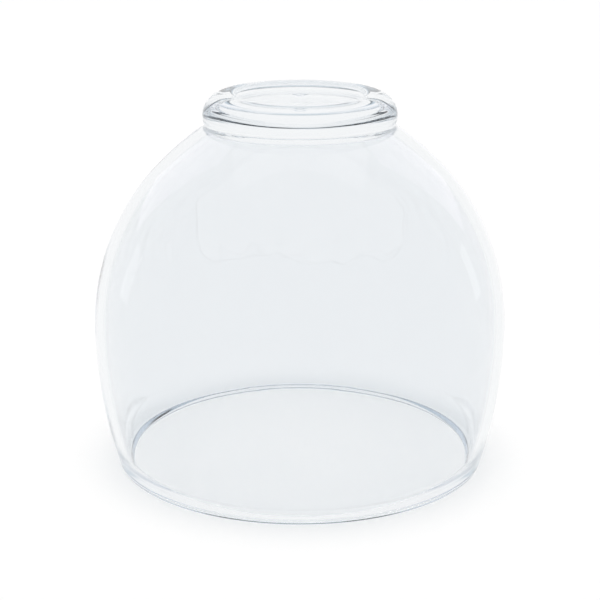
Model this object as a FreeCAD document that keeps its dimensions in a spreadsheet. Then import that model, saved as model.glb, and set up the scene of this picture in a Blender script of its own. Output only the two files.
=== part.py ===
import FreeCAD, Part
import math
import os
import Sketcher

# Bulbous clear glass dish that stands mouth down: lip, belly, shoulder, foot ring and base disc.
# The dish is one piece of glass. Its zones are separate solids that meet face to face.
# Millimetres. Z is the axis of revolution, +Z points to the foot, z = 0 is the plane of the lip.

V = FreeCAD.Vector
AXIS_Z = V(0, 0, 1)

# The sketcher numbers an edge's start, end and centre from 1, and its own two axes from -1 down.
START, END, CENTRE = range(1, 4)
H_AXIS, V_AXIS = range(-1, -3, -1)
ORIGIN = (H_AXIS, START)

# Driving dimensions: one value for each size that can be set by itself.
DRIVING = [
    ("girth_radius", 70.0, "outside of the belly at its widest"),
    ("mouth_inset", 6.6, "how far the mouth lies inside the widest girth"),
    ("girth_height", 47.3, "height of the widest girth"),
    ("crown_arc_radius", 77.9, "outer profile above the girth"),
    ("crown_arc_angle", 43.8, "degrees that this arc turns before the flatter shoulder"),
    ("shoulder_arc_radius", 105.7, "outer profile of the flatter shoulder"),
    ("wall_thickness", 3.2, "blown wall"),
    ("lip_thickness", 4.6, "fire-polished lip, thicker than the wall"),
    ("lip_height", 9.0, "height over which the lip thins to the wall"),
    ("lip_rounding", 0.8, "both edges of the lip"),
    ("shoulder_rise", 4.0, "height of shoulder glass that belongs to the foot ring"),
    ("foot_radius", 32.3, "outside of the foot at its widest"),
    ("foot_height", 11.55, "foot above the shoulder"),
    ("foot_draft", 14.0, "degrees that the foot's side leans in towards the shoulder"),
    ("foot_rounding", 7.4, "outer top edge of the foot"),
    ("cove_radius", 1.2, "hollow where the foot leaves the shoulder"),
    ("base_thickness", 8.6, "glass between the recess and the inside of the dish"),
    ("corner_rounding", 4.0, "inside, where the flat base runs out into the shoulder"),
    ("recess_radius", 21.0, "flat floor of the shallow recess in the foot"),
    ("recess_depth", 1.05, "recess below the standing ring"),
    ("recess_slope", 40.0, "degrees between the recess's side and its floor"),
    ("crest_rounding", 2.5, "edge between the standing ring and the recess"),
    ("heel_rounding", 0.5, "edge between the recess's side and its floor"),
    ("mark_radius", 1.3, "dimple at the centre of the base"),
    ("mark_depth", 0.25, "depth of that dimple"),
]

# Centres and heights that several zones share, worked out from the driving dimensions.
DERIVED = [
    ("mouth_radius", "girth_radius - mouth_inset"),
    ("lower_arc_radius", "(girth_height^2 + mouth_inset^2) / (2 * mouth_inset)"),
    ("lower_centre", "girth_radius - lower_arc_radius"),
    ("lip_top_radius",
     "lower_centre + sqrt((lower_arc_radius - wall_thickness)^2 - (girth_height - lip_height)^2)"),
    ("crown_centre", "girth_radius - crown_arc_radius"),
    ("arc_difference", "shoulder_arc_radius - crown_arc_radius"),
    ("shoulder_centre", "crown_centre - arc_difference * cos(crown_arc_angle * 1 deg)"),
    ("shoulder_centre_height", "girth_height - arc_difference * sin(crown_arc_angle * 1 deg)"),
    ("foot_root_height",
     "shoulder_centre_height + sqrt(shoulder_arc_radius^2 - (foot_radius - shoulder_centre)^2)"),
    ("shoulder_top", "foot_root_height - shoulder_rise"),
    ("overall_height", "foot_root_height + foot_height"),
    ("floor_height", "overall_height - recess_depth"),
    ("ceiling_height", "floor_height - base_thickness"),
    ("corner_start",
     "shoulder_centre + sqrt((shoulder_arc_radius - wall_thickness - corner_rounding)^2"
     " - (ceiling_height - corner_rounding - shoulder_centre_height)^2)"),
    ("base_radius", "min(recess_radius; corner_start) - 0.5"),
    ("slope_drop",
     "recess_depth - (crest_rounding + heel_rounding) * (1 - cos(recess_slope * 1 deg))"),
    ("crest_start",
     "recess_radius + (crest_rounding + heel_rounding) * sin(recess_slope * 1 deg)"
     " + slope_drop / tan(recess_slope * 1 deg)"),
    ("top_rounding", "min(foot_rounding; foot_radius - crest_start - 0.6)"),
]


def make_sheet(doc):
    """The spreadsheet of sizes, and a function that reads one of them by its name."""
    sheet = doc.addObject("Spreadsheet::Sheet", "Sizes")
    rows = [(name, str(value), note) for name, value, note in DRIVING]
    rows += [(name, "=" + formula, "worked out") for name, formula in DERIVED]
    for row, (name, content, note) in enumerate(rows, start=1):
        sheet.set(f"A{row}", name)
        sheet.set(f"B{row}", content)
        sheet.set(f"C{row}", note)
        sheet.setAlias(f"B{row}", name)
    doc.recompute()
    return lambda name: float(sheet.get(name))


class Profile:
    """A closed half section in the XZ plane: x is the radius, y is the height."""

    def __init__(self, doc, label):
        self.doc = doc
        self.body = doc.addObject("PartDesign::Body", label)
        self.body.Label = label
        plane = next(f for f in self.body.Origin.OriginFeatures if f.Role == "XZ_Plane")
        self.sketch = self.body.newObject("Sketcher::SketchObject", label + "_profile")
        self.sketch.AttachmentSupport = [(plane, "")]
        self.sketch.MapMode = "FlatFace"
        self.loop = []

    def line(self, start, end, smooth=False):
        """A straight side of the section, next in the loop; a smooth one runs on from the last."""
        index = self.sketch.addGeometry(Part.LineSegment(V(*start, 0), V(*end, 0)), False)
        self.loop.append((index, START, END, smooth))
        return index

    def arc(self, centre, radius, first, last, smooth=False):
        """A round side of the section between two headings in degrees, either way round."""
        circle = Part.Circle(V(*centre, 0), AXIS_Z, radius)
        low, high = sorted((math.radians(first), math.radians(last)))
        index = self.sketch.addGeometry(Part.ArcOfCircle(circle, low, high), False)
        ends = (START, END) if first < last else (END, START)
        self.loop.append((index, *ends, smooth))
        return index

    def spoke(self, start, end):
        """A construction line from an arc's centre to a joint between two arcs."""
        return self.sketch.addGeometry(Part.LineSegment(V(*start, 0), V(*end, 0)), True)

    def tie(self, kind, *references):
        """A geometric constraint with no size."""
        self.sketch.addConstraint(Sketcher.Constraint(kind, *references))

    def join(self, first, first_point, second, second_point):
        self.tie("Coincident", first, first_point, second, second_point)

    def size(self, name, expression, kind, *references):
        """A dimension bound to the spreadsheet."""
        start_value = float(self.sketch.evalExpression(expression))
        index = self.sketch.addConstraint(Sketcher.Constraint(kind, *references, start_value))
        self.sketch.renameConstraint(index, name)
        self.sketch.setExpression("Constraints." + name, expression)

    def radius(self, name, expression, index):
        self.size(name, expression, "Radius", index)

    def across(self, name, expression, index, point):
        self.size(name, expression, "DistanceX", *ORIGIN, index, point)

    def up(self, name, expression, index, point):
        self.size(name, expression, "DistanceY", *ORIGIN, index, point)

    def close(self):
        """Joins each side of the loop to the one before it, smooth sides by tangency."""
        for before, side in zip(self.loop[-1:] + self.loop[:-1], self.loop):
            kind = "Tangent" if side[3] else "Coincident"
            self.tie(kind, before[0], before[2], side[0], side[1])

    def revolve(self):
        """Turns the section into a solid about the Z axis."""
        self.doc.recompute()
        if self.sketch.solve() != 0 or not self.sketch.FullyConstrained:
            raise RuntimeError(self.body.Label + ": the profile has no single solution")
        turn = self.body.newObject("PartDesign::Revolution", self.body.Label + "_turn")
        turn.Profile = self.sketch
        turn.ReferenceAxis = (self.sketch, ["V_Axis"])
        turn.Angle = 360
        self.doc.recompute()
        return self.body


def on_circle(centre, radius, degrees):
    """Point of a circle at this heading from its centre."""
    turn = math.radians(degrees)
    return (centre[0] + radius * math.cos(turn), centre[1] + radius * math.sin(turn))


def heading(centre, point):
    """Heading in degrees from a centre to a point."""
    return math.degrees(math.atan2(point[1] - centre[1], point[0] - centre[0]))


def climb(centre, radius, height):
    """Heading in degrees from a centre to its circle's right-hand point at this height."""
    return math.degrees(math.asin(max(-1.0, (height - centre[1]) / radius)))


def make_mouth_lip(doc, get):
    """Lip of the dish: the wall thickens inwards to a flat land between two rounded edges."""
    lip = Profile(doc, "mouth_lip")
    centre, radius = (get("lower_centre"), get("girth_height")), get("lower_arc_radius")
    top, rounding = get("lip_height"), get("lip_rounding")
    top_in = (get("lip_top_radius"), top)
    reach = math.sqrt((radius - rounding) ** 2 - (centre[1] - rounding) ** 2)
    outer_edge = (centre[0] + reach, rounding)
    inner_edge = (get("mouth_radius") - get("lip_thickness") + rounding, rounding)
    inner_centre, inner_radius = touching_circle(centre, top_in, inner_edge, rounding)
    joint = heading(inner_centre, inner_edge)
    outside = lip.arc(centre, radius, heading(centre, outer_edge), climb(centre, radius, top), True)
    ceiling = lip.line(on_circle(centre, radius, climb(centre, radius, top)), top_in)
    inside = lip.arc(inner_centre, inner_radius, heading(centre, top_in), joint)
    edge_in = lip.arc(inner_edge, rounding, joint + 180, 270, True)
    land = lip.line((inner_edge[0], 0), (outer_edge[0], 0), True)
    edge_out = lip.arc(outer_edge, rounding, -90, heading(centre, outer_edge), True)
    spoke = lip.spoke(centre, top_in)
    lip.close()
    lip.across("axis_offset", "Sizes.lower_centre", outside, CENTRE)
    lip.up("girth", "Sizes.girth_height", outside, CENTRE)
    lip.radius("outer_arc", "Sizes.lower_arc_radius", outside)
    lip.tie("PointOnObject", land, START, H_AXIS)
    lip.tie("Horizontal", land)
    lip.radius("outer_edge", "Sizes.lip_rounding", edge_out)
    lip.radius("inner_edge", "Sizes.lip_rounding", edge_in)
    lip_inside = "Sizes.mouth_radius - Sizes.lip_thickness + Sizes.lip_rounding"
    lip.across("lip_inside", lip_inside, edge_in, CENTRE)
    lip.tie("Horizontal", ceiling)
    lip.up("lip_top", "Sizes.lip_height", ceiling, END)
    lip.across("lip_top_inside", "Sizes.lip_top_radius", ceiling, END)
    lip.join(spoke, START, outside, CENTRE)
    lip.join(spoke, END, ceiling, END)
    lip.tie("PointOnObject", inside, CENTRE, spoke)
    return lip.revolve()


def touching_circle(centre, touch, rounding_centre, rounding):
    """Circle that touches an arc about centre at one point and leads on to a rounding."""
    normal = V(centre[0] - touch[0], centre[1] - touch[1], 0).normalize()
    chord = V(touch[0] - rounding_centre[0], touch[1] - rounding_centre[1], 0)
    radius = (chord.dot(chord) - rounding**2) / (2 * (rounding - chord.dot(normal)))
    middle = V(*touch, 0) + normal * radius
    return (middle.x, middle.y), radius


def make_belly_wall(doc, get):
    """Wall from the lip up to the widest girth, where it stands upright."""
    belly = Profile(doc, "belly_wall")
    centre, radius = (get("lower_centre"), get("girth_height")), get("lower_arc_radius")
    wall, low, high = get("wall_thickness"), get("lip_height"), get("girth_height")
    inner = radius - wall
    low_out, low_in = climb(centre, radius, low), climb(centre, inner, low)
    outside = belly.arc(centre, radius, low_out, 0)
    top = belly.line((get("girth_radius"), high), (get("girth_radius") - wall, high))
    inside = belly.arc(centre, inner, 0, low_in)
    bottom = belly.line(on_circle(centre, inner, low_in), on_circle(centre, radius, low_out))
    belly.close()
    belly.join(inside, CENTRE, outside, CENTRE)
    belly.across("axis_offset", "Sizes.lower_centre", outside, CENTRE)
    belly.up("girth", "Sizes.girth_height", outside, CENTRE)
    belly.radius("outer_arc", "Sizes.lower_arc_radius", outside)
    belly.radius("inner_arc", "Sizes.lower_arc_radius - Sizes.wall_thickness", inside)
    belly.tie("Horizontal", top)
    belly.up("top", "Sizes.girth_height", top, START)
    belly.tie("Horizontal", bottom)
    belly.up("bottom", "Sizes.lip_height", bottom, START)
    return belly.revolve()


def make_shoulder_wall(doc, get):
    """Domed wall from the girth to the foot: a round crown arc that runs on into a flatter one."""
    shoulder = Profile(doc, "shoulder_wall")
    wall = get("wall_thickness")
    low, high = get("girth_height"), get("shoulder_top")
    crown_centre = (get("crown_centre"), low)
    crown_radius = get("crown_arc_radius")
    far_centre = (get("shoulder_centre"), get("shoulder_centre_height"))
    far_radius = get("shoulder_arc_radius")
    turn = get("crown_arc_angle")
    top_out = climb(far_centre, far_radius, high)
    top_in = climb(far_centre, far_radius - wall, high)
    outer_joint = on_circle(crown_centre, crown_radius, turn)
    crown_out = shoulder.arc(crown_centre, crown_radius, 0, turn)
    flat_out = shoulder.arc(far_centre, far_radius, turn, top_out)
    outer_end = on_circle(far_centre, far_radius, top_out)
    top = shoulder.line(outer_end, on_circle(far_centre, far_radius - wall, top_in))
    flat_in = shoulder.arc(far_centre, far_radius - wall, top_in, turn)
    crown_in = shoulder.arc(crown_centre, crown_radius - wall, turn, 0)
    bottom = shoulder.line((get("girth_radius") - wall, low), (get("girth_radius"), low))
    spoke = shoulder.spoke(crown_centre, outer_joint)
    shoulder.close()
    shoulder.join(spoke, START, crown_out, CENTRE)
    shoulder.join(spoke, END, crown_out, END)
    shoulder.join(crown_in, CENTRE, crown_out, CENTRE)
    shoulder.join(flat_in, CENTRE, flat_out, CENTRE)
    shoulder.tie("PointOnObject", crown_in, END, spoke)
    shoulder.size("turn", "Sizes.crown_arc_angle * 1 deg", "Angle", H_AXIS, spoke)
    shoulder.across("crown_offset", "Sizes.crown_centre", crown_out, CENTRE)
    shoulder.up("girth", "Sizes.girth_height", crown_out, CENTRE)
    shoulder.across("flat_offset", "Sizes.shoulder_centre", flat_out, CENTRE)
    shoulder.up("flat_centre", "Sizes.shoulder_centre_height", flat_out, CENTRE)
    shoulder.radius("outer_crown", "Sizes.crown_arc_radius", crown_out)
    shoulder.radius("inner_crown", "Sizes.crown_arc_radius - Sizes.wall_thickness", crown_in)
    shoulder.tie("Horizontal", bottom)
    shoulder.up("bottom", "Sizes.girth_height", bottom, START)
    shoulder.tie("Horizontal", top)
    shoulder.up("top", "Sizes.shoulder_top", top, START)
    return shoulder.revolve()


def make_foot_ring(doc, get):
    """Thick moulded foot: leaning side, rounded standing ring, sloped recess, corner inside."""
    foot = Profile(doc, "foot_ring")
    centre = (get("shoulder_centre"), get("shoulder_centre_height"))
    outer, draft, slope = get("shoulder_arc_radius"), get("foot_draft"), get("recess_slope")
    inner, low = outer - get("wall_thickness"), get("shoulder_top")
    top_at, floor_at, ceiling_at = get("overall_height"), get("floor_height"), get("ceiling_height")
    rounding, cove, crest = get("top_rounding"), get("cove_radius"), get("crest_rounding")
    heel, corner, base_at = get("heel_rounding"), get("corner_rounding"), get("base_radius")
    top_centre = (get("foot_radius") - rounding, top_at - rounding)
    crest_centre = (get("crest_start"), top_at - crest)
    heel_centre = (get("recess_radius"), floor_at + heel)
    corner_centre = (get("corner_start"), ceiling_at - corner)
    side_top = on_circle(top_centre, rounding, -draft)
    side_foot, cove_centre = cove_beside(centre, outer, side_top, draft, cove)
    slope_top = on_circle(crest_centre, crest, 90 + slope)
    slope_foot = on_circle(heel_centre, heel, slope - 90)
    low_out, low_in = climb(centre, outer, low), climb(centre, inner, low)
    cove_at, corner_at = heading(centre, cove_centre), heading(centre, corner_centre)

    outside = foot.arc(centre, outer, low_out, cove_at)
    root = foot.arc(cove_centre, cove, cove_at + 180, 180 - draft, True)
    side = foot.line(side_foot, side_top, True)
    outer_top = foot.arc(top_centre, rounding, -draft, 90, True)
    ring = foot.line((top_centre[0], top_at), (crest_centre[0], top_at), True)
    inner_top = foot.arc(crest_centre, crest, 90, 90 + slope, True)
    foot.line(slope_top, slope_foot, True)
    heel_arc = foot.arc(heel_centre, heel, slope - 90, -90, True)
    floor = foot.line((heel_centre[0], floor_at), (base_at, floor_at), True)
    joint = foot.line((base_at, floor_at), (base_at, ceiling_at))
    ceiling = foot.line((base_at, ceiling_at), (corner_centre[0], ceiling_at))
    turn = foot.arc(corner_centre, corner, 90, corner_at, True)
    inside = foot.arc(centre, inner, corner_at, low_in, True)
    bottom = foot.line(on_circle(centre, inner, low_in), on_circle(centre, outer, low_out))
    foot.close()
    foot.join(inside, CENTRE, outside, CENTRE)
    foot.across("centre_offset", "Sizes.shoulder_centre", outside, CENTRE)
    foot.up("centre_height", "Sizes.shoulder_centre_height", outside, CENTRE)
    foot.radius("outer_shoulder", "Sizes.shoulder_arc_radius", outside)
    foot.radius("inner_shoulder", "Sizes.shoulder_arc_radius - Sizes.wall_thickness", inside)
    foot.radius("cove", "Sizes.cove_radius", root)
    foot.size("draft", "90 deg - Sizes.foot_draft * 1 deg", "Angle", side)
    foot.radius("outer_top", "Sizes.top_rounding", outer_top)
    foot.across("foot_side", "Sizes.foot_radius - Sizes.top_rounding", outer_top, CENTRE)
    foot.tie("Horizontal", ring)
    foot.up("standing_ring", "Sizes.overall_height", ring, START)
    foot.radius("recess_crest", "Sizes.crest_rounding", inner_top)
    foot.across("crest", "Sizes.crest_start", inner_top, CENTRE)
    foot.radius("recess_heel", "Sizes.heel_rounding", heel_arc)
    foot.across("recess_edge", "Sizes.recess_radius", heel_arc, CENTRE)
    foot.tie("Horizontal", floor)
    foot.up("recess_floor", "Sizes.floor_height", floor, START)
    foot.tie("Vertical", joint)
    foot.across("base_joint", "Sizes.base_radius", joint, START)
    foot.tie("Horizontal", ceiling)
    foot.up("ceiling", "Sizes.ceiling_height", ceiling, START)
    foot.radius("inner_corner", "Sizes.corner_rounding", turn)
    foot.tie("Horizontal", bottom)
    foot.up("shoulder_joint", "Sizes.shoulder_top", bottom, START)
    return foot.revolve()


def cove_beside(centre, radius, side_top, draft, cove):
    """Foot of the leaning side, and centre of the cove that leads from it to the shoulder arc."""
    lean = math.radians(draft)
    outward, down = V(math.cos(lean), -math.sin(lean), 0), V(-math.sin(lean), -math.cos(lean), 0)
    start = V(*side_top, 0) + outward * cove
    offset = start - V(*centre, 0)
    along = offset.dot(down)
    run = -along - math.sqrt(along**2 - offset.dot(offset) + (radius + cove) ** 2)
    cove_centre = start + down * run
    side_foot = cove_centre - outward * cove
    return (side_foot.x, side_foot.y), (cove_centre.x, cove_centre.y)


def make_base_disc(doc, get):
    """Closed base inside the foot ring: floor of the recess, flat inside, dimple at the centre."""
    base = Profile(doc, "base_disc")
    edge, floor_at, ceiling_at = get("base_radius"), get("floor_height"), get("ceiling_height")
    mark, depth = get("mark_radius"), get("mark_depth")
    dimple_radius = (mark**2 + depth**2) / (2 * depth)
    dimple_bottom = floor_at - depth
    ceiling = base.line((0, ceiling_at), (edge, ceiling_at))
    rim = base.line((edge, ceiling_at), (edge, floor_at))
    floor = base.line((edge, floor_at), (mark, floor_at))
    dimple_centre = (0, dimple_bottom + dimple_radius)
    dimple = base.arc(dimple_centre, dimple_radius, heading(dimple_centre, (mark, floor_at)), -90)
    axis = base.line((0, dimple_bottom), (0, ceiling_at))
    base.close()
    base.tie("Horizontal", ceiling)
    base.up("ceiling", "Sizes.ceiling_height", ceiling, START)
    base.tie("Vertical", rim)
    base.across("rim", "Sizes.base_radius", rim, END)
    base.tie("Horizontal", floor)
    base.up("recess_floor", "Sizes.floor_height", floor, START)
    base.across("mark_edge", "Sizes.mark_radius", floor, END)
    base.tie("PointOnObject", dimple, CENTRE, V_AXIS)
    base.tie("PointOnObject", axis, START, V_AXIS)
    base.tie("PointOnObject", axis, END, V_AXIS)
    base.up("mark_bottom", "Sizes.floor_height - Sizes.mark_depth", axis, START)
    return base.revolve()


def check(doc, bodies):
    """Stops the build if any feature is in error or any solid is missing or broken."""
    for item in doc.Objects:
        if {"Invalid", "Error"} & set(item.State):
            raise RuntimeError(f"{item.Label}: {item.State}")
    for body in bodies:
        shape = body.Shape
        if shape.isNull() or not shape.isValid() or len(shape.Solids) != 1:
            raise RuntimeError(body.Label + ": not one valid solid")


def main():
    doc = FreeCAD.newDocument("bulbous_dish")
    get = make_sheet(doc)
    makers = (make_mouth_lip, make_belly_wall, make_shoulder_wall, make_foot_ring, make_base_disc)
    bodies = [make(doc, get) for make in makers]
    doc.recompute()
    check(doc, bodies)
    os.makedirs("parts", exist_ok=True)
    for body in bodies:
        body.Placement = FreeCAD.Placement()
        body.Shape.exportStep(f"parts/{body.Label}.step")
        box = body.Shape.BoundBox
        print(f"{body.Label}: r {box.XMax:.2f}, z {box.ZMin:.2f} to {box.ZMax:.2f}")


main()
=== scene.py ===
import math

import bpy
import numpy as np
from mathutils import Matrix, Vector


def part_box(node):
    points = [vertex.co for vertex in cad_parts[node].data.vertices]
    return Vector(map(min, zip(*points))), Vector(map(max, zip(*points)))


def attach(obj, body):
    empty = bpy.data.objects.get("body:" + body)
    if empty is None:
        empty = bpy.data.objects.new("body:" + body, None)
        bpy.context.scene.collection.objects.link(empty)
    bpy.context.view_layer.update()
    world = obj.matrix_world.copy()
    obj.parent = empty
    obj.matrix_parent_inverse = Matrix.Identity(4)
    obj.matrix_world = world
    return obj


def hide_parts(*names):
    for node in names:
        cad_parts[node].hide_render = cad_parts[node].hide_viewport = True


# A bulbous dish of clear glass, standing mouth down on a pale floor, foot up.
# Metres, in the CAD frame: Z is the axis of revolution, z = 0 the plane of the lip, -Y the front.

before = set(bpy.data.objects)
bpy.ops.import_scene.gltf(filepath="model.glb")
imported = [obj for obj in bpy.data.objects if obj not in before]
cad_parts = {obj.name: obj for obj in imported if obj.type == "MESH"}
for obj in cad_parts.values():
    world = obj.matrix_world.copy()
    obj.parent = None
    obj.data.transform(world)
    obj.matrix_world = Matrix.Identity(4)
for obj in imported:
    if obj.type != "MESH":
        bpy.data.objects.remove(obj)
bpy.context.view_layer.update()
print("frame loaded:", ", ".join(sorted(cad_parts)))


def arc(centre, radius, start, end, step):
    # centre + radius * (cos t, sin t), with t from start to end in degrees, in even steps near the
    # given size, and three points at least
    count = max(3, int(abs(end - start) / step) + 1)
    turn = np.radians(np.linspace(start, end, count))
    return np.stack([centre[0] + radius * np.cos(turn), centre[1] + radius * np.sin(turn)], 1)


def straight(start, end, count):
    # even points from start to end, both included
    share = np.linspace(0, 1, count)[:, None]
    return np.asarray(start) * (1 - share) + np.asarray(end) * share


def heading(centre, point):
    # angle in degrees of the line from the centre to the point
    return math.degrees(math.atan2(point[1] - centre[1], point[0] - centre[0]))


def makeObject(name, points, faces, smooth):
    # a mesh object at the origin, with its points where they are in the frame
    mesh = bpy.data.meshes.new(name)
    mesh.from_pydata(points.tolist(), [], faces)
    mesh.polygons.foreach_set("use_smooth", [smooth] * len(mesh.polygons))
    mesh.update()
    thing = bpy.data.objects.new(name, mesh)
    bpy.context.scene.collection.objects.link(thing)
    return thing


def addNode(tree, kind, **values):
    # a node with some of its sockets set by name
    node = tree.nodes.new(kind)
    for socket, value in values.items():
        node.inputs[socket.replace("_", " ")].default_value = value
    return node


# Radii and heights that the frame gives: girth, lip, foot and base
girthRadius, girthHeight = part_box("belly_wall")[1].x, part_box("belly_wall")[1].z
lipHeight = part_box("mouth_lip")[1].z
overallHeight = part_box("foot_ring")[1].z
ceilingHeight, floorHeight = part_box("base_disc")[0].z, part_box("base_disc")[1].z

dish = {
    "mouthInset": 0.0066,        # the mouth lies this far inside the girth
    "crownArc": 0.0779,          # outer profile above the girth
    "crownTurn": 43.8,           # degrees that it turns
    "shoulderArc": 0.1057,       # flatter shoulder above it
    "wall": 0.0032,
    "cornerRounding": 0.0040,    # inside, from the wall to the flat base
    "lipThickness": 0.0046,
    "lipRounding": 0.0008,
    "footRadius": 0.0323,
    "footRounding": 0.0074,      # outer top edge of the foot
    "footDraft": 14.0,           # degrees that the foot narrows downwards
    "cove": 0.0012,              # where the foot leaves the shoulder
    "recessRadius": 0.0210,
    "recessSlope": 40.0,         # degrees of the wall of the recess
    "crestRounding": 0.0025,     # from the foot's flat land into the recess
    "heelRounding": 0.0005,      # from the wall of the recess to its floor
    "markRadius": 0.0013,        # dimple left at the centre of the base
    "markDepth": 0.00025,
    "segments": 336,             # round the axis
    # degrees from point to point on each kind of arc
    "steps": {
        "corner": 6, "wall": 1.0, "belly": 0.5, "lipEdge": 10, "cove": 8,
        "foot": 4, "crest": 6, "heel": 10, "mark": 6,
    },
    # points on each flat
    "points": {"base": 14, "flank": 4, "recess": 12},
}


def insideProfile(shoulder, crown):
    # from the centre of the base along the inside, over the corner, down to the girth; the corner
    # touches the flat base and the inner side of the shoulder's arc
    wall, corner, steps = dish["wall"], dish["cornerRounding"], dish["steps"]
    reach = dish["shoulderArc"] - wall
    up = ceilingHeight - corner
    cornerCentre = (shoulder[0] + math.sqrt((reach - corner) ** 2 - (up - shoulder[1]) ** 2), up)
    bend = heading(shoulder, cornerCentre)
    return [
        straight((0, ceilingHeight), (cornerCentre[0], ceilingHeight), dish["points"]["base"]),
        arc(cornerCentre, corner, 90, bend, steps["corner"]),
        arc(shoulder, reach, bend, dish["crownTurn"], steps["wall"]),
        arc(crown, dish["crownArc"] - wall, dish["crownTurn"], 0, steps["wall"]),
    ]


def lipProfile(belly, bellyArc):
    # from the girth down the inside; below lipHeight an arc tangent to the wall and to the
    # rounded inner edge thickens the lip; then its flat land and the outer edge
    thinArc, edge, steps = bellyArc - dish["wall"], dish["lipRounding"], dish["steps"]
    drop = math.asin((girthHeight - lipHeight) / thinArc)
    normal = np.array([-math.cos(drop), math.sin(drop)])
    touch = belly - thinArc * normal
    innerEdge = np.array([girthRadius - dish["mouthInset"] - dish["lipThickness"] + edge, edge])
    chord = touch - innerEdge
    lipArc = (chord @ chord - edge ** 2) / (2 * (edge - chord @ normal))
    lip = touch + normal * lipArc
    outerEdge = (belly[0] + math.sqrt((bellyArc - edge) ** 2 - (edge - belly[1]) ** 2), edge)
    return [
        arc(belly, thinArc, 0, -math.degrees(drop), steps["belly"]),
        arc(lip, lipArc, heading(lip, touch), heading(lip, innerEdge), steps["wall"]),
        arc(innerEdge, edge, heading(lip, innerEdge) + 180, 270, steps["lipEdge"]),
        arc(outerEdge, edge, -90, heading(belly, outerEdge), steps["lipEdge"]),
        arc(belly, bellyArc, heading(belly, outerEdge), 0, steps["belly"]),
    ]


def footProfile(shoulder, crown):
    # up the outside from the girth, over the cove, the drafted flank and the foot's rounding;
    # the cove touches the outer side of the flank and the shoulder's arc
    turn, bow, steps = dish["crownTurn"], dish["shoulderArc"], dish["steps"]
    lean, rounding, cove = dish["footDraft"], dish["footRounding"], dish["cove"]
    draft = math.radians(lean)
    down = np.array([-math.sin(draft), -math.cos(draft)])
    outward = np.array([math.cos(draft), -math.sin(draft)])
    top = np.array([dish["footRadius"] - rounding, overallHeight - rounding])
    flankTop = top + rounding * outward
    offset = flankTop + cove * outward - shoulder
    reach = bow + cove
    length = -offset @ down - math.sqrt((offset @ down) ** 2 - offset @ offset + reach ** 2)
    flankFoot = flankTop + length * down
    coveCentre = flankFoot + cove * outward
    return [
        arc(crown, dish["crownArc"], 0, turn, steps["wall"]),
        arc(shoulder, bow, turn, heading(shoulder, coveCentre), steps["wall"]),
        arc(coveCentre, cove, heading(coveCentre, shoulder), -180 - lean, steps["cove"]),
        straight(flankFoot, flankTop, dish["points"]["flank"]),
        arc(top, rounding, -lean, 90, steps["foot"]),
    ]


def recessProfile():
    # crest rounding, sloping wall, small heel, flat floor and the dimple at the centre
    lean, crest, heel = dish["recessSlope"], dish["crestRounding"], dish["heelRounding"]
    recess, mark, depth = dish["recessRadius"], dish["markRadius"], dish["markDepth"]
    slope, steps = math.radians(lean), dish["steps"]
    wallFoot = (recess + heel * math.sin(slope), floorHeight + heel - heel * math.cos(slope))
    wallTop = overallHeight - crest + crest * math.cos(slope)
    crestAcross = wallFoot[0] + (wallTop - wallFoot[1]) / math.tan(slope) + crest * math.sin(slope)
    dimpleArc = (mark ** 2 + depth ** 2) / (2 * depth)
    dimple = (0, floorHeight - depth + dimpleArc)
    return [
        arc((crestAcross, overallHeight - crest), crest, 90, 90 + lean, steps["crest"]),
        arc((recess, floorHeight + heel), heel, lean - 90, -90, steps["heel"]),
        straight((recess, floorHeight), (mark, floorHeight), dish["points"]["recess"]),
        arc(dimple, dimpleArc, heading(dimple, (mark, floorHeight)), -90, steps["mark"]),
    ]


def dishSection():
    # the whole section, from the axis on the inside to the axis on the foot; the belly's arc is
    # widest at the girth and ends at the mouth: radius = (height^2 + inset^2) / (2 * inset)
    inset, turn = dish["mouthInset"], math.radians(dish["crownTurn"])
    bellyArc = (girthHeight ** 2 + inset ** 2) / (2 * inset)
    belly = np.array([girthRadius - bellyArc, girthHeight])
    crown = np.array([girthRadius - dish["crownArc"], girthHeight])
    shift = dish["shoulderArc"] - dish["crownArc"]
    shoulder = crown - shift * np.array([math.cos(turn), math.sin(turn)])
    points = np.concatenate(insideProfile(shoulder, crown) + lipProfile(belly, bellyArc)
                            + footProfile(shoulder, crown) + recessProfile())
    apart = np.linalg.norm(np.diff(points, axis=0), axis=1) > 1e-7  # arcs share their end points
    return points[np.concatenate([[True], apart])]


def revolve(name, section, segments):
    # every point of the section turned about Z: (r cos t, r sin t, z), with a fan at each pole
    ring = section[1:-1]
    count = len(ring)
    turn = np.arange(segments) * 2 * math.pi / segments
    points = np.stack([
        np.outer(np.cos(turn), ring[:, 0]),
        np.outer(np.sin(turn), ring[:, 0]),
        np.tile(ring[:, 1], (segments, 1)),
    ], -1).reshape(-1, 3)
    poles = np.array([[0, 0, section[0, 1]], [0, 0, section[-1, 1]]])
    here = np.arange(segments)[:, None] * count
    ahead = (np.arange(segments)[:, None] + 1) % segments * count
    step = np.arange(count - 1)
    quads = np.stack([here + step, ahead + step, ahead + step + 1, here + step + 1], -1)
    firstPole, lastPole = segments * count, segments * count + 1
    here, ahead = here[:, 0], ahead[:, 0]
    firstFan = np.stack([np.full(segments, firstPole), ahead, here], 1)
    lastFan = np.stack([np.full(segments, lastPole), here + count - 1, ahead + count - 1], 1)
    faces = quads.reshape(-1, 4).tolist() + firstFan.tolist() + lastFan.tolist()
    return makeObject(name, np.concatenate([points, poles]), faces, True)


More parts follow.
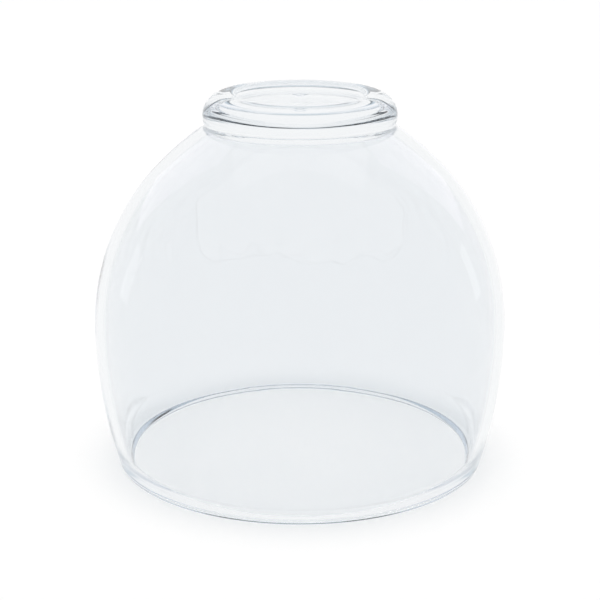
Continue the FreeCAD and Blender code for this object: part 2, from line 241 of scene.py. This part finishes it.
glass = {
    "colour": (0.902, 0.919, 0.933),        # faint cool tint of clear soda glass
    "streakColour": (0.892, 0.912, 0.927),  # where it was gathered unevenly
    "streakScale": 9.0,                     # this and the other scales are per metre
    "ior": 1.5,
    "longScale": 30.0,                      # long shallow waves all over
    "longShare": 0.1,                       # their height beside the closer ones
    "waveScale": 70.0,                      # closer waves high on the back wall
    "waveDepth": 0.0012,
    "waveDetail": 1.0,
    "waveRoughness": 0.4,
    "stretch": (1.0, 1.0, 0.55),            # waves run longer up the wall than round it
    "waveFrom": 0.04,                       # heights between which the closer waves lie
    "waveTo": 0.098,
    "waveBehind": 0.02,                     # they begin this far behind the axis
    "fade": 0.02,                           # and come in over this length
}


def buildWaveGroup():
    # height = long noise * its share + (close noise - 0.5) * rise * fall * behind, where the last
    # three are smooth steps in z, z and y; drift = a slow noise for the tint
    group = bpy.data.node_groups.new("blownSurface", "ShaderNodeTree")
    face = group.interface
    face.new_socket("Vector", in_out="INPUT", socket_type="NodeSocketVector")
    for name in ("Scale", "Long Scale", "Long Share", "From", "To", "Behind", "Fade"):
        face.new_socket(name, in_out="INPUT", socket_type="NodeSocketFloat")
    face.new_socket("Height", in_out="OUTPUT", socket_type="NodeSocketFloat")
    face.new_socket("Drift", in_out="OUTPUT", socket_type="NodeSocketFloat")
    enter = group.nodes.new("NodeGroupInput")
    leave = group.nodes.new("NodeGroupOutput")
    link = group.links.new

    def combine(operation, first, second):
        node = group.nodes.new("ShaderNodeMath")
        node.operation = operation
        for socket, value in zip(node.inputs, (first, second)):
            if isinstance(value, float):
                socket.default_value = value
            else:
                link(value, socket)
        return node.outputs[0]

    def ramp(value, low, high):
        node = group.nodes.new("ShaderNodeMapRange")
        node.interpolation_type = "SMOOTHSTEP"
        link(value, node.inputs["Value"])
        link(low, node.inputs["From Min"])
        link(high, node.inputs["From Max"])
        return node.outputs["Result"]

    stretch = addNode(group, "ShaderNodeMapping", Scale=glass["stretch"])
    smooth = {"Detail": glass["waveDetail"], "Roughness": glass["waveRoughness"]}
    waves = addNode(group, "ShaderNodeTexNoise", **smooth)
    swell = addNode(group, "ShaderNodeTexNoise", **smooth)
    streaks = addNode(group, "ShaderNodeTexNoise", Scale=glass["streakScale"])
    parts = group.nodes.new("ShaderNodeSeparateXYZ")
    link(enter.outputs["Vector"], stretch.inputs["Vector"])
    link(enter.outputs["Vector"], parts.inputs["Vector"])
    link(enter.outputs["Vector"], streaks.inputs["Vector"])
    link(stretch.outputs["Vector"], waves.inputs["Vector"])
    link(enter.outputs["Scale"], waves.inputs["Scale"])
    link(stretch.outputs["Vector"], swell.inputs["Vector"])
    link(enter.outputs["Long Scale"], swell.inputs["Scale"])
    low, high, near, fade = [enter.outputs[name] for name in ("From", "To", "Behind", "Fade")]
    rise = ramp(parts.outputs["Z"], low, combine("ADD", low, fade))
    fall = ramp(parts.outputs["Z"], high, combine("SUBTRACT", high, fade))
    behind = ramp(parts.outputs["Y"], near, combine("ADD", near, fade))
    place = combine("MULTIPLY", combine("MULTIPLY", rise, fall), behind)
    close = combine("MULTIPLY", combine("SUBTRACT", waves.outputs["Fac"], 0.5), place)
    long = combine("MULTIPLY", swell.outputs["Fac"], enter.outputs["Long Share"])
    link(combine("ADD", long, close), leave.inputs["Height"])
    link(streaks.outputs["Fac"], leave.inputs["Drift"])
    return group


def makeGlass():
    # clear glass: tint = mix of the two colours by the drift, normal = bump of the waves
    material = bpy.data.materials.new("clearGlass")
    material.use_nodes = True
    tree = material.node_tree
    shader = tree.nodes["Principled BSDF"]
    shader.inputs["Roughness"].default_value = 0.0
    shader.inputs["IOR"].default_value = glass["ior"]
    shader.inputs["Transmission Weight"].default_value = 1.0
    place = tree.nodes.new("ShaderNodeTexCoord")
    waves = tree.nodes.new("ShaderNodeGroup")
    waves.node_tree = buildWaveGroup()
    for socket, value in (
        ("Scale", "waveScale"), ("Long Scale", "longScale"), ("Long Share", "longShare"),
        ("From", "waveFrom"), ("To", "waveTo"), ("Behind", "waveBehind"), ("Fade", "fade"),
    ):
        waves.inputs[socket].default_value = glass[value]
    bump = addNode(tree, "ShaderNodeBump", Strength=1.0, Distance=glass["waveDepth"])
    tint = tree.nodes.new("ShaderNodeMix")
    tint.data_type = "RGBA"
    tint.inputs["A"].default_value = (*glass["colour"], 1)
    tint.inputs["B"].default_value = (*glass["streakColour"], 1)
    link = tree.links.new
    link(place.outputs["Object"], waves.inputs["Vector"])
    link(waves.outputs["Height"], bump.inputs["Height"])
    link(bump.outputs["Normal"], shader.inputs["Normal"])
    link(waves.outputs["Drift"], tint.inputs["Factor"])
    link(tint.outputs["Result"], shader.inputs["Base Color"])
    return material


glassDish = revolve("glassDish", dishSection(), dish["segments"])
glassDish.data.materials.append(makeGlass())
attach(glassDish, "root")
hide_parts("mouth_lip", "belly_wall", "shoulder_wall", "foot_ring", "base_disc")
print("glass dish:", len(glassDish.data.polygons), "faces")


studio = {
    "floorHalf": 3.0,
    "floorGap": 0.0004,                 # the floor lies just under the lip
    "shadowShare": 0.17,                # share of the floor that takes light and shadow
    "shadowColour": (1.0, 0.88, 0.80),  # the rest shines in what is left of white
    "overhead": 40.0,                   # how closely the floor's light gathers round the zenith
    "bounces": 200,                     # enough for light trapped in the lip and the foot
    "darkBand": 0.33,                   # middle height of the sky's band that the painted shade turns black, and half its depth
    # painted shade: colours that sky and floor take on after so many reflections inside the glass,
    # up to the longest; the start is the same everywhere, then come the band of the sky, the rest
    # of the sky and the floor; the black stretches are a painted dark line in the foot
    "longest": 64,
    "startPaintedShade": [
        (0, (1, 1, 1)), (4, (1, 1, 1)), (6, (0.94, 0.955, 0.97)), (9, (0.66, 0.74, 0.80)),
        (14, (0.52, 0.61, 0.69)),
    ],
    "bandPaintedShade": [
        (22, (0.5, 0.6, 0.7)), (26, (0, 0, 0)), (41, (0, 0, 0)),
        (48, (0.55, 0.64, 0.76)), (64, (0.62, 0.70, 0.80)),
    ],
    "skyPaintedShade": [
        (64, (0.62, 0.70, 0.80)),
    ],
    "floorPaintedShade": [
        (18, (0, 0, 0)), (41, (0, 0, 0)),
        (48, (0.55, 0.64, 0.76)), (64, (0.62, 0.70, 0.80)),
    ],
}


def paintedBounceShade(tree, ending):
    # painted shade: a ramp at (glossy depth / longest), white seen straight or through the glass,
    # painted dim after many reflections in it
    paintedShade = studio["startPaintedShade"] + ending
    path = tree.nodes.new("ShaderNodeLightPath")
    share = tree.nodes.new("ShaderNodeMath")
    share.operation = "DIVIDE"
    share.inputs[1].default_value = studio["longest"]
    ramp = tree.nodes.new("ShaderNodeValToRGB")
    stops = ramp.color_ramp.elements
    stops.remove(stops[-1])
    stops[0].color = (*paintedShade[0][1], 1)
    for depth, colour in paintedShade[1:]:
        stops.new(depth / studio["longest"]).color = (*colour, 1)
    tree.links.new(path.outputs["Glossy Depth"], share.inputs[0])
    tree.links.new(share.outputs[0], ramp.inputs["Fac"])
    return ramp.outputs["Color"]


def makeFloor():
    half, low = studio["floorHalf"], -studio["floorGap"]
    corners = [(-half, -half, low), (half, -half, low), (half, half, low), (-half, half, low)]
    floor = makeObject("floor", np.array(corners), [[0, 1, 2, 3]], False)
    material = bpy.data.materials.new("paleFloor")
    material.use_nodes = True
    tree = material.node_tree
    tree.nodes.clear()
    share, colour = studio["shadowShare"], studio["shadowColour"]
    # glow = (1 - share * colour) / (1 - share): both parts add up to plain white in the open
    glow = [(1 - share * part) / (1 - share) for part in colour]
    matt = addNode(tree, "ShaderNodeBsdfDiffuse", Color=(*colour, 1))
    shine = addNode(tree, "ShaderNodeEmission", Strength=1.0)
    dim = tree.nodes.new("ShaderNodeVectorMath")
    dim.operation = "MULTIPLY"
    dim.inputs[1].default_value = glow
    blend = tree.nodes.new("ShaderNodeMixShader")
    blend.inputs[0].default_value = 1 - share
    # light that the glass has mirrored at least once finds the floor without its shadow
    plain = addNode(tree, "ShaderNodeEmission", Strength=1.0)
    path = tree.nodes.new("ShaderNodeLightPath")
    mirrored = tree.nodes.new("ShaderNodeMath")
    mirrored.operation = "GREATER_THAN"
    mirrored.inputs[1].default_value = 0.5
    choose = tree.nodes.new("ShaderNodeMixShader")
    end = tree.nodes.new("ShaderNodeOutputMaterial")
    # painted shade: the floor is painted dim, and black over a stretch, after many reflections in
    # the glass
    paintedShade = paintedBounceShade(tree, studio["floorPaintedShade"])
    tree.links.new(path.outputs["Glossy Depth"], mirrored.inputs[0])
    tree.links.new(mirrored.outputs[0], choose.inputs[0])
    tree.links.new(blend.outputs[0], choose.inputs[1])
    tree.links.new(plain.outputs[0], choose.inputs[2])
    tree.links.new(paintedShade, plain.inputs["Color"])
    tree.links.new(paintedShade, dim.inputs[0])
    tree.links.new(dim.outputs["Vector"], shine.inputs["Color"])
    tree.links.new(matt.outputs[0], blend.inputs[1])
    tree.links.new(shine.outputs[0], blend.inputs[2])
    tree.links.new(choose.outputs[0], end.inputs["Surface"])
    floor.data.materials.append(material)


def makeSky():
    world = bpy.data.worlds.new("studioWhite")
    world.use_nodes = True
    tree = world.node_tree
    # the floor is lit from above: (n / 2 + 1) * z^n over the upper half of the sky, which adds up
    # to the same light as a plain white sky; everything else sees the plain sky in its painted
    # shade
    place = tree.nodes.new("ShaderNodeTexCoord")
    parts = tree.nodes.new("ShaderNodeSeparateXYZ")
    path = tree.nodes.new("ShaderNodeLightPath")
    upper, gather, level, lit = [tree.nodes.new("ShaderNodeMath") for step in range(4)]
    upper.operation, gather.operation, level.operation = "MAXIMUM", "POWER", "MULTIPLY"
    upper.inputs[1].default_value = 0
    gather.inputs[1].default_value = studio["overhead"]
    level.inputs[1].default_value = studio["overhead"] / 2 + 1
    lit.operation = "MINIMUM"
    lit.inputs[1].default_value = 1
    choose = tree.nodes.new("ShaderNodeMix")
    choose.inputs["A"].default_value = 1
    link = tree.links.new
    link(place.outputs["Generated"], parts.inputs["Vector"])
    link(parts.outputs["Z"], upper.inputs[0])
    link(upper.outputs[0], gather.inputs[0])
    link(gather.outputs[0], level.inputs[0])
    link(path.outputs["Diffuse Depth"], lit.inputs[0])
    link(lit.outputs[0], choose.inputs["Factor"])
    link(level.outputs[0], choose.inputs["B"])
    link(choose.outputs["Result"], tree.nodes["Background"].inputs["Strength"])
    # the sky's band has its own painted shade, black after many reflections; the rest of the sky
    # has another
    band = tree.nodes.new("ShaderNodeMath")
    band.operation = "COMPARE"
    band.inputs[1].default_value = studio["darkBand"]
    band.inputs[2].default_value = studio["darkBand"]
    paintedShade = tree.nodes.new("ShaderNodeMix")
    paintedShade.data_type = "RGBA"
    link(parts.outputs["Z"], band.inputs[0])
    link(band.outputs[0], paintedShade.inputs["Factor"])
    link(paintedBounceShade(tree, studio["skyPaintedShade"]), paintedShade.inputs["A"])
    link(paintedBounceShade(tree, studio["bandPaintedShade"]), paintedShade.inputs["B"])
    link(paintedShade.outputs["Result"], tree.nodes["Background"].inputs["Color"])
    bpy.context.scene.world = world
    cycles = bpy.context.scene.cycles
    cycles.max_bounces = cycles.glossy_bounces = cycles.transmission_bounces = studio["bounces"]


softBoxes = {
    "aim": (0, 0, 0.06),
    "distance": 1.2,
    # bearing from the front and lift in degrees, width, height, brightness beside the sky, colour
    "boxes": [
        (-136, 32, 0.50, 0.84, 0.44, (1.0, 0.86, 0.98)),
        (136, 32, 0.50, 0.84, 0.44, (1.0, 0.86, 0.98)),
        (180, 80, 1.40, 0.60, 0.34, (1.0, 0.92, 0.98)),
        (-112, 5, 0.20, 0.34, 0.4, (1, 1, 1)),
        (114, 5, 0.14, 0.34, 0.5, (1, 1, 1)),
    ],
}


def addSoftBox(name, bearing, lift, width, height, level, colour):
    # energy = pi * width * height * level, a lamp that adds level to the white of the sky behind it
    lamp = bpy.data.lights.new(name, "AREA")
    lamp.shape = "RECTANGLE"
    lamp.size, lamp.size_y = width, height
    lamp.energy = math.pi * width * height * level
    lamp.color = colour
    turn, up = math.radians(bearing), math.radians(lift)
    away = Vector((math.sin(turn) * math.cos(up), -math.cos(turn) * math.cos(up), math.sin(up)))
    holder = bpy.data.objects.new(name, lamp)
    holder.location = Vector(softBoxes["aim"]) + away * softBoxes["distance"]
    holder.rotation_euler = away.to_track_quat("Z", "Y").to_euler()
    holder.visible_camera = False
    holder.visible_transmission = False
    bpy.context.scene.collection.objects.link(holder)


view = {
    "away": 0.5206,              # from the axis, towards the front
    "up": 0.2156,
    "tilt": 0.2997,              # radians below the horizon
    "lens": 95.35,               # millimetres, and so is the sensor's width
    "sensor": 36,
    "nearest": 0.01,             # what is nearer than this doesn't show
}


def makeCamera():
    camera = bpy.data.cameras.new("camera")
    camera.lens = view["lens"]
    camera.sensor_width = view["sensor"]
    camera.clip_start = view["nearest"]
    holder = bpy.data.objects.new("camera", camera)
    holder.location = (0, -view["away"], view["up"])
    holder.rotation_euler = (math.pi / 2 - view["tilt"], 0, 0)
    bpy.context.scene.collection.objects.link(holder)
    bpy.context.scene.camera = holder


makeFloor()
makeSky()
print("floor and sky ready")
for number, values in enumerate(softBoxes["boxes"]):
    addSoftBox("softBox%d" % number, *values)
makeCamera()
bpy.context.scene.view_settings.view_transform = "Standard"
print("lamps and camera ready")
